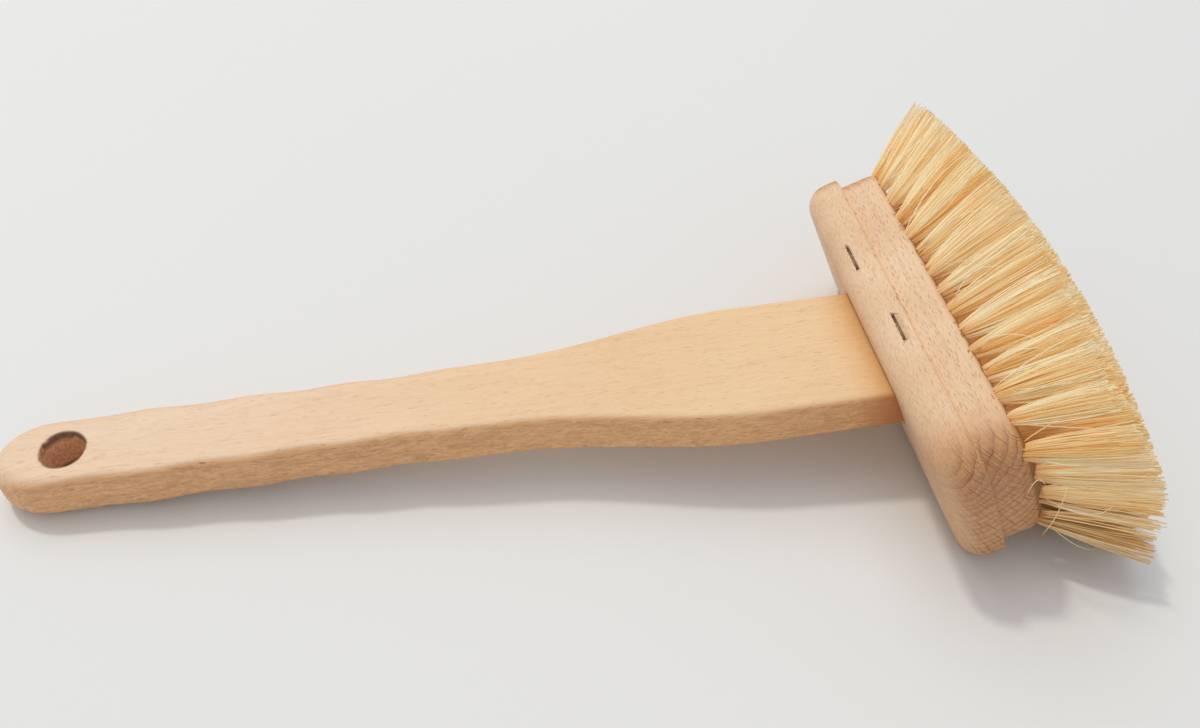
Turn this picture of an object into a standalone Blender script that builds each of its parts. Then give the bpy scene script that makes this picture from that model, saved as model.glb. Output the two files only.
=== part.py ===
"""A bathtub brush: a flat wooden handle set into a wooden head, with fanned fibre tufts.

Lengths are in metres. The handle is drawn along x from its tip, with z through its thickness.
The head has a frame of its own: x runs from its back face to the bristles, y along its
length and z across its depth. The brush lies on its handle tip and on the head's lower back edge.
"""

import math

import bmesh
import bpy
from mathutils import Vector

# Handle
HANDLE_REACH = 0.330  # tip to the head's back face, along the handle's middle line
TENON_LENGTH = 0.015
HANDLE_THICKNESS = 0.0185
HANDLE_EDGE_ROUND = 0.0035
TIP_ROUND_LENGTH = 0.018
GRIP_WIDTH = 0.0312
WAIST_WIDTH = 0.0338
SHOULDER_WIDTH = 0.0578
WAIST_START = 0.135
FLARE_START = 0.181
FLARE_END = 0.278
GROOVE_PITCH = 0.036
GROOVE_DEPTH = 0.0009
FIRST_CREST = 0.018
HOLE_DIAMETER = 0.0158
HOLE_FROM_TIP = 0.0248
HOLE_RIM_ROUND = 0.0006

# Head
HEAD_ANGLE = math.radians(22.6)  # between the handle's middle line and the head's x
HEAD_LENGTH = 0.1616
HEAD_DEPTH = 0.0673
HEAD_THICKNESS = 0.030  # at the long edges of the bristle face
HEAD_BACK_ROUND = 0.0095
HEAD_CORNER_ROUND = 0.0133
RIDGE_FROM_BACK = 0.0153
FRONT_INSET = 0.0023
FACE_CROWN = 0.004
FACE_RIM_ROUND = 0.0014
FACE_END_ROUND = 0.0085  # how the bristle face rounds off towards the head's two ends

# Gap between pieces that touch, and how far a cut runs on past what it cuts
FIT_GAP = 0.0003
CUT_OVERRUN = 0.002

# Staples, driven from the head's upper side into the tenon
STAPLE_WIDTH = 0.0139
STAPLE_WIRE = 0.0013
STAPLE_BEND = 0.0008
STAPLE_LENGTH = 0.030
STAPLE_SINK = 0.0006
STAPLE_POINT = 0.0020
FAR_STAPLE_FROM_BACK = 0.0067
FAR_STAPLE_ALONG = 0.0290
NEAR_STAPLE_FROM_BACK = 0.0105
NEAR_STAPLE_ALONG = -0.0122

# Tufts and the slices of wood that carry them
COLUMN_COUNT = 15
ROW_COUNT = 6
COLUMN_PITCH = 0.0105
ROW_PITCH = 0.0110
END_ROW_COUNT = 4  # in the two end columns, clear of the block's round corners
END_ROW_PITCH = 0.0150
TUFT_DIAMETER = 0.0038
STRANDS_PER_TUFT = 5
STRAND_ROOT_WIDTH = 0.0009
STRAND_TIP_WIDTH = 0.0018
STRAND_SEAT = 0.0012  # how deep a strand's foot is in its slice
SLICE_WIDTH = 0.0050
SLICE_THICKNESS = 0.0030
SLICE_MARGIN = 0.0005

# The domed surface on which the tips end
BRISTLE_LENGTH = 0.0455  # at the middle of the head
TIPS_LENGTH = 0.196
TIPS_DEPTH = 0.110
TIPS_LOWERED = 0.0055
TIPS_END_DROP = 0.012
TIPS_SIDE_DROP = 0.015
TIP_FILL_SHARE = 0.86  # of the space between tufts, at the tips
END_DEPTH_SHARE = 0.87  # of the tips' depth that the end columns fill

# Counts of facets
ROUND_STEPS = 5
CORNER_STEPS = 6
FACE_STEPS = 12
END_STEPS = 5
RIM_STEPS = 3
TIP_STEPS = 12
SIDE_STEPS = 52
HOLE_STEPS = 48
BEND_STEPS = 4
STRAND_SIDES = 4
GOLDEN_TURN = math.pi * (3 - math.sqrt(5))

HANDLE_WOOD = ("handle_wood", (0.80, 0.56, 0.36), 0.50, 0.0)
HEAD_WOOD = ("head_wood", (0.72, 0.47, 0.31), 0.58, 0.0)
FIBRE = ("bristle_fibre", (0.83, 0.65, 0.38), 0.55, 0.0)
STAPLE_STEEL = ("staple_steel", (0.16, 0.13, 0.10), 0.45, 0.9)


def clear_scene():
    for obj in list(bpy.data.objects):
        bpy.data.objects.remove(obj, do_unlink=True)


def make_material(name, colour, roughness, metallic):
    material = bpy.data.materials.new(name)
    material.use_nodes = True
    shader = material.node_tree.nodes["Principled BSDF"]
    shader.inputs["Base Color"].default_value = (*colour, 1.0)
    shader.inputs["Roughness"].default_value = roughness
    shader.inputs["Metallic"].default_value = metallic
    return material


def make_empty(name, parent=None, location=(0, 0, 0), turn_y=0.0):
    empty = bpy.data.objects.new(name, None)
    empty.parent = parent
    empty.location = location
    empty.rotation_euler = (0, turn_y, 0)
    bpy.context.scene.collection.objects.link(empty)
    return empty


def make_piece(name, points, faces, parent, material=None, smooth_below=None):
    """An object made of one closed mesh, with every face turned outwards."""
    mesh = bpy.data.meshes.new(name)
    mesh.from_pydata([tuple(point) for point in points], [], faces)
    shape = bmesh.new()
    shape.from_mesh(mesh)
    bmesh.ops.recalc_face_normals(shape, faces=shape.faces)
    shape.to_mesh(mesh)
    shape.free()
    if smooth_below is not None:
        mesh.shade_smooth()
        mesh.set_sharp_from_angle(angle=smooth_below)
    if material is not None:
        mesh.materials.append(material)
    obj = bpy.data.objects.new(name, mesh)
    obj.parent = parent
    bpy.context.scene.collection.objects.link(obj)
    return obj


def make_cutter(name, points, faces, parent):
    cutter = make_piece(name, points, faces, parent)
    cutter.hide_render = True
    cutter.display_type = "WIRE"
    return cutter


def add_boolean(obj, other, operation):
    modifier = obj.modifiers.new(other.name, "BOOLEAN")
    modifier.operation = operation
    modifier.solver = "EXACT"
    modifier.object = other


def bridge_rings(rings, close_first=True, close_last=True):
    """Points and faces of a surface through rings of equal count, with flat ends."""
    count = len(rings[0])
    points = [point for ring in rings for point in ring]
    faces = []
    for row in range(len(rings) - 1):
        low, high = row * count, (row + 1) * count
        for i in range(count):
            j = (i + 1) % count
            faces.append((low + i, low + j, high + j, high + i))
    if close_first:
        faces.append(tuple(range(count))[::-1])
    if close_last:
        last = (len(rings) - 1) * count
        faces.append(tuple(range(last, last + count)))
    return points, faces


def smooth_step(value, start, end):
    share = min(max((value - start) / (end - start), 0.0), 1.0)
    return share * share * (3 - 2 * share)


# Handle


def handle_half_width(x):
    """Half the handle's width at a distance from its tip: grip, grooves, waist and flare."""
    width = GRIP_WIDTH
    width += (WAIST_WIDTH - GRIP_WIDTH) * smooth_step(x, WAIST_START, FLARE_START)
    width += (SHOULDER_WIDTH - WAIST_WIDTH) * smooth_step(x, FLARE_START, FLARE_END)
    wave = math.cos(2 * math.pi * (x - FIRST_CREST) / GROOVE_PITCH)
    fade = 1 - smooth_step(x, WAIST_START, FLARE_START)
    return (width + GROOVE_DEPTH * wave * fade) / 2


def handle_outline():
    """(x, y, outward normal) round the handle, from one tenon corner to the other."""
    side = []
    for i in range(TIP_STEPS):
        angle = math.pi / 2 * i / TIP_STEPS
        x = TIP_ROUND_LENGTH * (1 - math.cos(angle))
        side.append((x, handle_half_width(TIP_ROUND_LENGTH) * math.sin(angle)))
    straight = FLARE_END - TIP_ROUND_LENGTH
    for i in range(SIDE_STEPS + 1):
        x = TIP_ROUND_LENGTH + straight * i / SIDE_STEPS
        side.append((x, handle_half_width(x)))
    side.append((HANDLE_REACH + TENON_LENGTH, SHOULDER_WIDTH / 2))
    outline = [(x, y) for x, y in reversed(side)] + [(x, -y) for x, y in side[1:]]
    found = []
    for i, (x, y) in enumerate(outline):
        if i in (0, len(outline) - 1):
            normal = Vector((0, math.copysign(1, y)))
        else:
            before, after = Vector(outline[i - 1]), Vector(outline[i + 1])
            along = (after - before).normalized()
            normal = Vector((along.y, -along.x))
        found.append((x, y, normal))
    return found


def make_handle(parent, material):
    outline = handle_outline()
    levels = []
    for i in range(ROUND_STEPS + 1):
        angle = math.pi / 2 * i / ROUND_STEPS
        inset = HANDLE_EDGE_ROUND * (1 - math.sin(angle))
        levels.append((inset, HANDLE_EDGE_ROUND * (1 - math.cos(angle)) - HANDLE_THICKNESS / 2))
    levels += [(inset, -z) for inset, z in reversed(levels)]
    rings = []
    for inset, z in levels:
        rings.append([(x - normal.x * inset, y - normal.y * inset, z) for x, y, normal in outline])
    points, faces = bridge_rings(rings)
    return make_piece("handle", points, faces, parent, material, math.radians(40))


def make_hole_cutter(parent):
    """The hanging hole's cutter, widened where it meets the handle's two faces."""
    half = HANDLE_THICKNESS / 2
    levels = [(HOLE_DIAMETER / 2 + HOLE_RIM_ROUND, half + CUT_OVERRUN)]
    for i in range(BEND_STEPS + 1):
        angle = math.pi / 2 * i / BEND_STEPS
        radius = HOLE_DIAMETER / 2 + HOLE_RIM_ROUND * (1 - math.sin(angle))
        levels.append((radius, half - HOLE_RIM_ROUND * (1 - math.cos(angle))))
    levels += [(radius, -z) for radius, z in reversed(levels)]
    rings = []
    for radius, z in levels:
        ring = []
        for i in range(HOLE_STEPS):
            angle = 2 * math.pi * i / HOLE_STEPS
            x = HOLE_FROM_TIP + radius * math.cos(angle)
            ring.append((x, radius * math.sin(angle), z))
        rings.append(ring)
    return make_cutter("hole_cutter", *bridge_rings(rings), parent)


def make_mortise_cutter(parent):
    """The tenon's own section, grown by the fit gap, from its end out past the head's back."""
    half_width = SHOULDER_WIDTH / 2 + FIT_GAP
    half_height = HANDLE_THICKNESS / 2 + FIT_GAP
    corner = HANDLE_EDGE_ROUND + FIT_GAP
    end = HANDLE_REACH + TENON_LENGTH + FIT_GAP
    slope = math.tan(HEAD_ANGLE) * HANDLE_THICKNESS
    start = HANDLE_REACH - slope - CUT_OVERRUN
    section = []
    for quarter, (side, up) in enumerate(((1, 1), (-1, 1), (-1, -1), (1, -1))):
        for i in range(ROUND_STEPS + 1):
            angle = math.pi / 2 * (quarter + i / ROUND_STEPS)
            y = side * (half_width - corner) + corner * math.cos(angle)
            section.append((y, up * (half_height - corner) + corner * math.sin(angle)))
    rings = [[(x, y, z) for y, z in section] for x in (start, end)]
    return make_cutter("mortise_cutter", *bridge_rings(rings), parent)


# Head


def front_half_depth():
    return HEAD_DEPTH / 2 - FRONT_INSET


def face_at(z):
    """How far the crowned bristle face stands from the head's back face."""
    share = z / front_half_depth()
    return HEAD_THICKNESS + FACE_CROWN * (1 - share * share)


def end_fall(y):
    """How far the bristle face falls away as it rounds off at the head's ends."""
    beyond = abs(y) - (HEAD_LENGTH / 2 - FRONT_INSET - FACE_END_ROUND)
    beyond = min(max(beyond, 0.0), FACE_END_ROUND)
    return FACE_END_ROUND - math.sqrt(FACE_END_ROUND**2 - beyond**2)


def round_face_ends(obj):
    """Cuts the front part's faces across near both ends, then lets them fall away to the ends."""
    start = HEAD_LENGTH / 2 - FRONT_INSET - FACE_END_ROUND
    reach = FACE_END_ROUND - FACE_RIM_ROUND
    shape = bmesh.new()
    shape.from_mesh(obj.data)
    for step in range(END_STEPS):
        place = start + reach * math.sin(math.pi / 2 * step / END_STEPS)
        for side in (-1, 1):
            faces = [f for f in shape.faces if f.calc_center_median().x > RIDGE_FROM_BACK]
            edges = {edge for face in faces for edge in face.edges}
            corners = {vertex for face in faces for vertex in face.verts}
            bmesh.ops.bisect_plane(shape, geom=list(corners) + list(edges) + faces,
                                   plane_co=(0, side * place, 0), plane_no=(0, 1, 0))
    foot = HEAD_THICKNESS - FACE_RIM_ROUND
    for vertex in shape.verts:
        rise = (vertex.co.x - RIDGE_FROM_BACK) / (foot - RIDGE_FROM_BACK)
        vertex.co.x -= end_fall(vertex.co.y) * min(max(rise, 0.0), 1.0)
    shape.to_mesh(obj.data)
    shape.free()
    obj.data.set_sharp_from_angle(angle=math.radians(35))


def head_outline(inset):
    """(y, z) round the head: up its one end from the lower side, and down the other."""
    radius = HEAD_CORNER_ROUND - inset
    y0 = HEAD_LENGTH / 2 - HEAD_CORNER_ROUND
    z0 = HEAD_DEPTH / 2 - HEAD_CORNER_ROUND
    half = []
    for i in range(CORNER_STEPS + 1):
        angle = math.pi / 2 * i / CORNER_STEPS
        half.append((y0 + radius * math.sin(angle), -z0 - radius * math.cos(angle)))
    for i in range(1, FACE_STEPS):
        half.append((y0 + radius, z0 * (2 * i / FACE_STEPS - 1)))
    for i in range(CORNER_STEPS + 1):
        angle = math.pi / 2 * i / CORNER_STEPS
        half.append((y0 + radius * math.cos(angle), z0 + radius * math.sin(angle)))
    return half + [(-y, z) for y, z in reversed(half)]


def make_head_block(parent, material):
    rings = []
    for i in range(ROUND_STEPS + 1):
        angle = math.pi / 2 * i / ROUND_STEPS
        inset = HEAD_BACK_ROUND * (1 - math.sin(angle))
        x = HEAD_BACK_ROUND * (1 - math.cos(angle))
        rings.append([(x, y, z) for y, z in head_outline(inset)])
    for inset in (0.0, FRONT_INSET):
        rings.append([(RIDGE_FROM_BACK, y, z) for y, z in head_outline(inset)])
    for i in range(RIM_STEPS + 1):
        angle = math.pi / 2 * i / RIM_STEPS
        rim = head_outline(FRONT_INSET + FACE_RIM_ROUND * (1 - math.cos(angle)))
        drop = FACE_RIM_ROUND * (1 - math.sin(angle))
        rings.append([(face_at(z) - drop, y, z) for y, z in rim])
    points, faces = bridge_rings(rings, close_last=False)
    count = len(rings[0])
    first = (len(rings) - 1) * count
    last = first + count - 1
    for i in range(count // 2 - 1):
        faces.append((first + i, first + i + 1, last - i - 1, last - i))
    block = make_piece("head_block", points, faces, parent, material, math.radians(35))
    round_face_ends(block)
    return block


# Staples


def staple_outline(grow, top):
    """(y, z) round a staple hung from the head's upper side, grown all round by a gap."""
    half = STAPLE_WIDTH / 2 + grow
    inner = STAPLE_WIDTH / 2 - STAPLE_WIRE - grow
    bend = STAPLE_BEND + grow
    crown = HEAD_DEPTH / 2 - STAPLE_SINK
    under = crown - STAPLE_WIRE - grow
    foot = crown - STAPLE_LENGTH - grow
    side = [(inner, under), (inner, foot + STAPLE_POINT), (half, foot)]
    for i in range(BEND_STEPS + 1):
        angle = math.pi / 2 * i / BEND_STEPS
        side.append((half - bend * (1 - math.cos(angle)), top - bend * (1 - math.sin(angle))))
    return side + [(-y, z) for y, z in reversed(side)]


def staple_mesh(grow, top, x, y):
    half = STAPLE_WIRE / 2 + grow
    outline = staple_outline(grow, top)
    rings = [[(x + side, y + across, z) for across, z in outline] for side in (-half, half)]
    return bridge_rings(rings)


def make_staple(name, x, y, parent, material):
    """A staple, and the cutter of the slots that it has made in head and tenon."""
    crown = HEAD_DEPTH / 2 - STAPLE_SINK
    piece = make_piece(name, *staple_mesh(0.0, crown, x, y), parent, material)
    mouth = HEAD_DEPTH / 2 + CUT_OVERRUN
    cutter = make_cutter(name + "_cutter", *staple_mesh(FIT_GAP, mouth, x, y), parent)
    return piece, cutter


# Tufts


def column_share(column):
    """Where a column stands along the head, from -1 at one end to 1 at the other."""
    return 2 * column / (COLUMN_COUNT - 1) - 1


def is_end(column):
    return column in (0, COLUMN_COUNT - 1)


def rows_in(column):
    return END_ROW_COUNT if is_end(column) else ROW_COUNT


def row_heights(column):
    """The z of each tuft's root in a column, lowest first."""
    count = rows_in(column)
    pitch = END_ROW_PITCH if is_end(column) else ROW_PITCH
    return [pitch * (row - (count - 1) / 2) for row in range(count)]


def column_y(column):
    return column_share(column) * COLUMN_PITCH * (COLUMN_COUNT - 1) / 2


def on_face(y, z):
    return Vector((face_at(z) - end_fall(y), y, z))


def tip_on_dome(y, z):
    """The point of the domed tip surface over a place along and across the head."""
    apex = face_at(0) + BRISTLE_LENGTH
    along = y / (TIPS_LENGTH / 2)
    across = z / (TIPS_DEPTH / 2)
    x = apex - TIPS_END_DROP * along * along - TIPS_SIDE_DROP * across * across
    return Vector((x, y, z - TIPS_LOWERED))


def strand_ring(centre, along, out, width):
    """The corners of a strand's section, one side of it facing away from the tuft's middle."""
    aside = along.cross(out).normalized()
    radial = aside.cross(along).normalized()
    ring = []
    for i in range(STRAND_SIDES):
        angle = 2 * math.pi * (i + 0.5) / STRAND_SIDES
        reach = width / 2 / math.cos(math.pi / STRAND_SIDES)
        ring.append(centre + reach * (math.cos(angle) * radial + math.sin(angle) * aside))
    return ring


def tuft_strands(column, row):
    """Rings of the strands of one tuft, spread evenly round it and splayed towards the tips."""
    root_y, root_z = column_y(column), row_heights(column)[row]
    cell_y = TIPS_LENGTH / COLUMN_COUNT
    cell_z = TIPS_DEPTH * (END_DEPTH_SHARE if is_end(column) else 1) / rows_in(column)
    tip_y = column_share(column) * (TIPS_LENGTH - cell_y) / 2
    tip_z = cell_z * (row - (rows_in(column) - 1) / 2)
    reach = (TUFT_DIAMETER - STRAND_ROOT_WIDTH) / 2
    reach_y = TIP_FILL_SHARE * cell_y / 2 - STRAND_TIP_WIDTH / 2
    reach_z = TIP_FILL_SHARE * cell_z / 2 - STRAND_TIP_WIDTH / 2
    first = GOLDEN_TURN * (column * ROW_COUNT + row)
    strands = []
    for i in range(STRANDS_PER_TUFT):
        angle = first + 2 * math.pi * i / STRANDS_PER_TUFT
        turn = Vector((0, math.cos(angle), math.sin(angle)))
        start = on_face(root_y + reach * turn.y, root_z) + Vector((0, 0, reach * turn.z))
        end = tip_on_dome(tip_y + reach_y * turn.y, tip_z + reach_z * turn.z)
        along = (end - start).normalized()
        foot = start - Vector((STRAND_SEAT, 0, 0))
        strands.append((strand_ring(foot, along, turn, STRAND_ROOT_WIDTH),
                        strand_ring(end, along, turn, STRAND_TIP_WIDTH)))
    return strands


def slice_levels(column):
    """Heights at which a column's slice bends: its ends, and halfway between its tufts."""
    heights = row_heights(column)
    beyond = TUFT_DIAMETER / 2 + SLICE_MARGIN
    between = [(low + high) / 2 for low, high in zip(heights, heights[1:])]
    return [heights[0] - beyond] + between + [heights[-1] + beyond]


def slice_mesh(column, grow, overrun):
    """A column's slice of wood, flush with the face, or its slot when grown and overrun."""
    levels = slice_levels(column)
    levels[0] -= grow
    levels[-1] += grow
    back = Vector((SLICE_THICKNESS + grow, 0, 0))
    front = Vector((overrun, 0, 0))
    half = SLICE_WIDTH / 2 + grow
    rings = []
    for side in (-half, half):
        y = column_y(column) + side
        ring = [on_face(y, z) + front for z in levels]
        rings.append(ring + [on_face(y, z) - back for z in reversed(levels)])
    return bridge_rings(rings)


def make_tuft_column(column, parent, material):
    """One column of tufts on its slice, and the cutter of the slot that takes it."""
    name = f"tuft_column_{column + 1:02d}"
    piece = make_piece(name, *slice_mesh(column, 0.0, 0.0), parent, material)
    points, faces = [], []
    for row in range(rows_in(column)):
        for rings in tuft_strands(column, row):
            strand_points, strand_faces = bridge_rings(rings)
            first = len(points)
            points += strand_points
            faces += [tuple(first + i for i in face) for face in strand_faces]
    strands = make_cutter(name + "_strands", points, faces, parent)
    add_boolean(piece, strands, "UNION")
    slot = make_cutter(name + "_slot", *slice_mesh(column, FIT_GAP, CUT_OVERRUN), parent)
    return piece, slot


# Placing


def head_place():
    """The head frame's origin in the handle's frame: both middles cross inside the block."""
    middle = (HEAD_THICKNESS + FACE_CROWN) / 2
    x = HANDLE_REACH + middle / math.cos(HEAD_ANGLE) - middle * math.cos(HEAD_ANGLE)
    return Vector((x, 0, -middle * math.sin(HEAD_ANGLE)))


def rest_tilt():
    """How far the handle rises from the floor, touching it with its tip and the head's edge."""
    tip = Vector((HANDLE_EDGE_ROUND, 0, HANDLE_EDGE_ROUND - HANDLE_THICKNESS / 2))
    lower = HEAD_BACK_ROUND - HEAD_DEPTH / 2
    x = HEAD_BACK_ROUND * math.cos(HEAD_ANGLE) - lower * math.sin(HEAD_ANGLE)
    z = HEAD_BACK_ROUND * math.sin(HEAD_ANGLE) + lower * math.cos(HEAD_ANGLE)
    span = head_place() + Vector((x, 0, z)) - tip
    drop = math.atan2(span.z, span.x)
    return math.asin((HEAD_BACK_ROUND - HANDLE_EDGE_ROUND) / span.length) - drop


def seat_on_floor(root, pieces):
    """Moves the whole brush so that its box stands on the origin, middle over it."""
    bpy.context.view_layer.update()
    graph = bpy.context.evaluated_depsgraph_get()
    corners = []
    for piece in pieces:
        made = piece.evaluated_get(graph)
        mesh = made.to_mesh()
        corners += [made.matrix_world @ vertex.co for vertex in mesh.vertices]
        made.to_mesh_clear()
    low = [min(corner[axis] for corner in corners) for axis in range(3)]
    high = [max(corner[axis] for corner in corners) for axis in range(3)]
    root.location = (-(low[0] + high[0]) / 2, -(low[1] + high[1]) / 2, -low[2])
    bpy.context.view_layer.update()


def main():
    clear_scene()
    handle_wood = make_material(*HANDLE_WOOD)
    head_wood = make_material(*HEAD_WOOD)
    fibre = make_material(*FIBRE)
    steel = make_material(*STAPLE_STEEL)

    root = make_empty("brush", turn_y=-rest_tilt())
    head = make_empty("head_frame", root, head_place(), -HEAD_ANGLE)

    handle = make_handle(root, handle_wood)
    add_boolean(handle, make_hole_cutter(root), "DIFFERENCE")
    block = make_head_block(head, head_wood)
    add_boolean(block, make_mortise_cutter(root), "DIFFERENCE")
    pieces = [handle, block]

    places = (
        ("staple_far", FAR_STAPLE_FROM_BACK, FAR_STAPLE_ALONG),
        ("staple_near", NEAR_STAPLE_FROM_BACK, NEAR_STAPLE_ALONG),
    )
    for name, x, y in places:
        staple, cutter = make_staple(name, x, y, head, steel)
        add_boolean(block, cutter, "DIFFERENCE")
        add_boolean(handle, cutter, "DIFFERENCE")
        pieces.append(staple)

    for column in range(COLUMN_COUNT):
        piece, slot = make_tuft_column(column, head, fibre)
        add_boolean(block, slot, "DIFFERENCE")
        pieces.append(piece)

    seat_on_floor(root, pieces)


main()
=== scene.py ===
"""The bathtub brush dressed for a picture: grained beech, drilled bristle face and thousands of fibres.

Lengths are in metres unless a name ends in _MM. The handle keeps the handle's own frame, with x
from its tip and z through its thickness. The head keeps the head's own frame, with x from its back
face to the bristles, y along its length and z across its depth.
"""

import math

import bmesh
import bpy
import numpy as np
from mathutils import Matrix, Vector


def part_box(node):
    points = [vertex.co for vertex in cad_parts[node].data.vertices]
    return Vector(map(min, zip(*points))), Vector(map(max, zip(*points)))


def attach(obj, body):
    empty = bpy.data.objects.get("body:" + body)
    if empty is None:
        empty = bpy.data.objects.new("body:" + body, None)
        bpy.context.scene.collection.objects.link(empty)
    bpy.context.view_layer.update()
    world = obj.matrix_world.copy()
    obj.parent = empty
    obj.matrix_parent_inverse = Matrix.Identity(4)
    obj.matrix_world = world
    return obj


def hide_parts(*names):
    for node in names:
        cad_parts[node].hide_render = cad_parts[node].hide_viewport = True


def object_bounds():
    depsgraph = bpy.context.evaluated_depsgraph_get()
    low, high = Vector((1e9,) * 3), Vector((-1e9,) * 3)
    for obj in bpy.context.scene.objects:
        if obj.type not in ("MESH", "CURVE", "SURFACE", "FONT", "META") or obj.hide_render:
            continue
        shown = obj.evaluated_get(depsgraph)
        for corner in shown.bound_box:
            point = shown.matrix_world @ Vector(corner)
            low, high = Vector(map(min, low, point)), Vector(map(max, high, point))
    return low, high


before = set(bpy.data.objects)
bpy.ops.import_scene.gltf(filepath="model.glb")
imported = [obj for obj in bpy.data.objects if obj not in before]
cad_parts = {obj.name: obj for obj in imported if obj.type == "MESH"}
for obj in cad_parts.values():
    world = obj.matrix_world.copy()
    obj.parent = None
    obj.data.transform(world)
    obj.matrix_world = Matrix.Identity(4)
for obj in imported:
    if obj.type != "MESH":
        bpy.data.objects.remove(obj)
cad_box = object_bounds()

# Handle
HANDLE_REACH = 0.330
TENON_LENGTH = 0.015
HANDLE_THICKNESS = 0.0185
HANDLE_EDGE_ROUND = 0.0035
TIP_EDGE_ROUND = 0.0064
TIP_EDGE_START = 0.004
TIP_EDGE_END = 0.040
TIP_ROUND_LENGTH = 0.018
GRIP_WIDTH = 0.0312
WAIST_WIDTH = 0.0338
SHOULDER_WIDTH = 0.0578
WAIST_START = 0.135
FLARE_START = 0.181
FLARE_END = 0.278
GROOVE_PITCH = 0.036
GROOVE_DEPTH = 0.0009
FIRST_CREST = 0.018
HOLE_DIAMETER = 0.0158
HOLE_FROM_TIP = 0.0248
HOLE_RIM_ROUND = 0.0007
JOINT_GAP = 0.00025

# Head
HEAD_ANGLE = math.radians(22.6)
HEAD_LENGTH = 0.1616
HEAD_DEPTH = 0.0673
HEAD_THICKNESS = 0.030
HEAD_BACK_ROUND = 0.0095
HEAD_CORNER_ROUND = 0.0133
RIDGE_FROM_BACK = 0.0153
RIDGE_EDGE_ROUND = 0.0009
RIDGE_COVE = 0.0010
FRONT_INSET = 0.0023
FACE_CROWN = 0.004
FACE_END_ROUND = 0.0085
FACE_RIM_ROUND = 0.0027
FRONT_CORNER_ROUND = 0.0170

# Staples
STAPLE_WIDTH = 0.0133
STAPLE_WIRE = 0.0009
STAPLE_SINK = 0.0005
STAPLE_DEPTH = 0.004
SLOT_GAP = 0.00012
SLOT_DEPTH = 0.0035
STAPLE_PLACES = {"staple_far": (0.0067, 0.0290), "staple_near": (0.0105, -0.0122)}

# Tufts
COLUMN_COUNT = 15
ROW_COUNT = 6
END_ROW_COUNT = 4
COLUMN_PITCH = 0.0105
ROW_PITCH = 0.0110
END_ROW_PITCH = 0.0150
END_DEPTH_SHARE = 0.87
TUFT_HOLE_DIAMETER = 0.0056
TUFT_HOLE_DEPTH = 0.0045
TUFT_DIAMETER = 0.0052
FIBRES_PER_TUFT = 104
CLUMPS = 18
CLUMP_SPREAD = 0.11
FIBRE_WIDTH = 0.00044
FIBRE_TIP_WIDTH = 0.00040
INNER_WIDER = 1.4
FIBRE_SIDES = 4
FIBRE_STEPS = 6
ROOT_DEPTH_SHARE = 0.6
BRISTLE_LENGTH = 0.0455
TIPS_LENGTH = 0.196
TIPS_DEPTH = 0.110
TIPS_LOWERED = 0.0055
TIPS_END_DROP = 0.012
TIPS_SIDE_DROP = 0.015
OUTER_FILL_SHARE = 0.79
INNER_FILL_SHARE = 1.05
TIPS_MARGIN = 0.0012
BOX_MARGIN = 0.0004
UNEVEN_LENGTH = 0.0036
MOST_SHORTENED = 0.2
FAR_TRIM = 0.0044
FAR_TRIM_START = 0.080
BELLY = 0.0011
WILD_SHARE = 0.08
WILD_SPREAD = 0.0030
TAME_SPREAD = 0.0009

# Fibre tones, from pale to golden: those of inner fibres start at INNER_TONE, the others stay below
INNER_TONE = 0.5
DEEPEST_TONE = 0.98
OWN_TONE = 0.42
CLUMP_TONE = 0.35
TUFT_TONE = 0.10
# Painted shade: fibres near the middle of a tuft turn more golden
CORE_SHADE_TONE = 0.6
# Painted shade: the fibres of the lower rows turn more golden
LOW_ROW_SHADE_TONE = 0.36
LOW_TONE_SHARE = 0.5

# How far the fibres' shading leans with their tuft's cone, with the whole brush, and out at the tips
CONE_LEAN = 0.8
CONE_LEAN_LOST = 0.6
BRUSH_LEAN = 0.8
END_LEAN = 0.5
SIDE_LEAN = 0.32
UP_LEAN = 0.60
TIP_LEAN = 0.5

# Loose fibres and torn wood
STRAY_SHARE = 0.8
STRAY_SPREAD = (0.009, 0.006)
STRAY_LIMIT = (0.092, 0.049)
STRAY_REACH = (0.55, 0.98)
STRAY_BOW = (0.002, 0.006)
BURRS_PER_HOLE = 9
BURR_LENGTH = (0.0006, 0.0022)
BURR_WIDTH = 0.00034
BURR_TIP_WIDTH = 0.00010

# Broken fibres that lie across the near end: start, middle and end of each, in the head's frame
BROKEN_FIBRES = (
    ((0.0282, -0.0808, -0.0240), (0.0334, -0.0856, -0.0045), (0.0384, -0.0858, 0.0122)),
    ((0.0262, -0.0791, 0.0032), (0.0304, -0.0806, 0.0140), (0.0330, -0.0802, 0.0085)),
)

# The camera, found from the outlines in the photograph
CAMERA_AZIMUTH = math.radians(-14.93)
CAMERA_HEIGHT = math.radians(46.41)
CAMERA_ROLL = math.radians(6.21)
CAMERA_DISTANCE = 0.46084
CAMERA_TARGET = Vector((0.22427, 0.02439, 0.015))  # from the handle's tip
CAMERA_LENS_MM = 34.16
SENSOR_MM = 36.0
NEAREST_SEEN = 0.01

# Light: direction, size, share of the floor's light and colour of each lamp
LAMPS = {
    "window": ((-0.2, 0.5, 1.0), 4.0, 0.27, (0.99, 0.99, 1.0)),
    "lamp": ((-0.37, 0.45, 1.0), 0.36, 0.21, (1.0, 0.99, 0.82)),
}
LAMP_DISTANCE = 4.0
SKY_STRENGTH = 0.52
SKY_COLOUR = (0.985, 0.985, 1.0)
FLOOR_HALF = 3.0
FLOOR_STEPS = 12

# Wood
PORE_REACH_MM = 40.0

# Meshes
SMOOTH_BELOW = math.radians(35)
HANDLE_SLICE = 0.003
HANDLE_SLICES_ASIDE = 9
HEAD_SLICE = 0.0035
HEAD_SLICES_ALONG = 19
HEAD_SLICES_ACROSS = 5
HEAD_END_SLICES_MM = (71, 72, 73, 74.2, 75)

rng = np.random.default_rng(11)


# Mesh helpers


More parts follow.
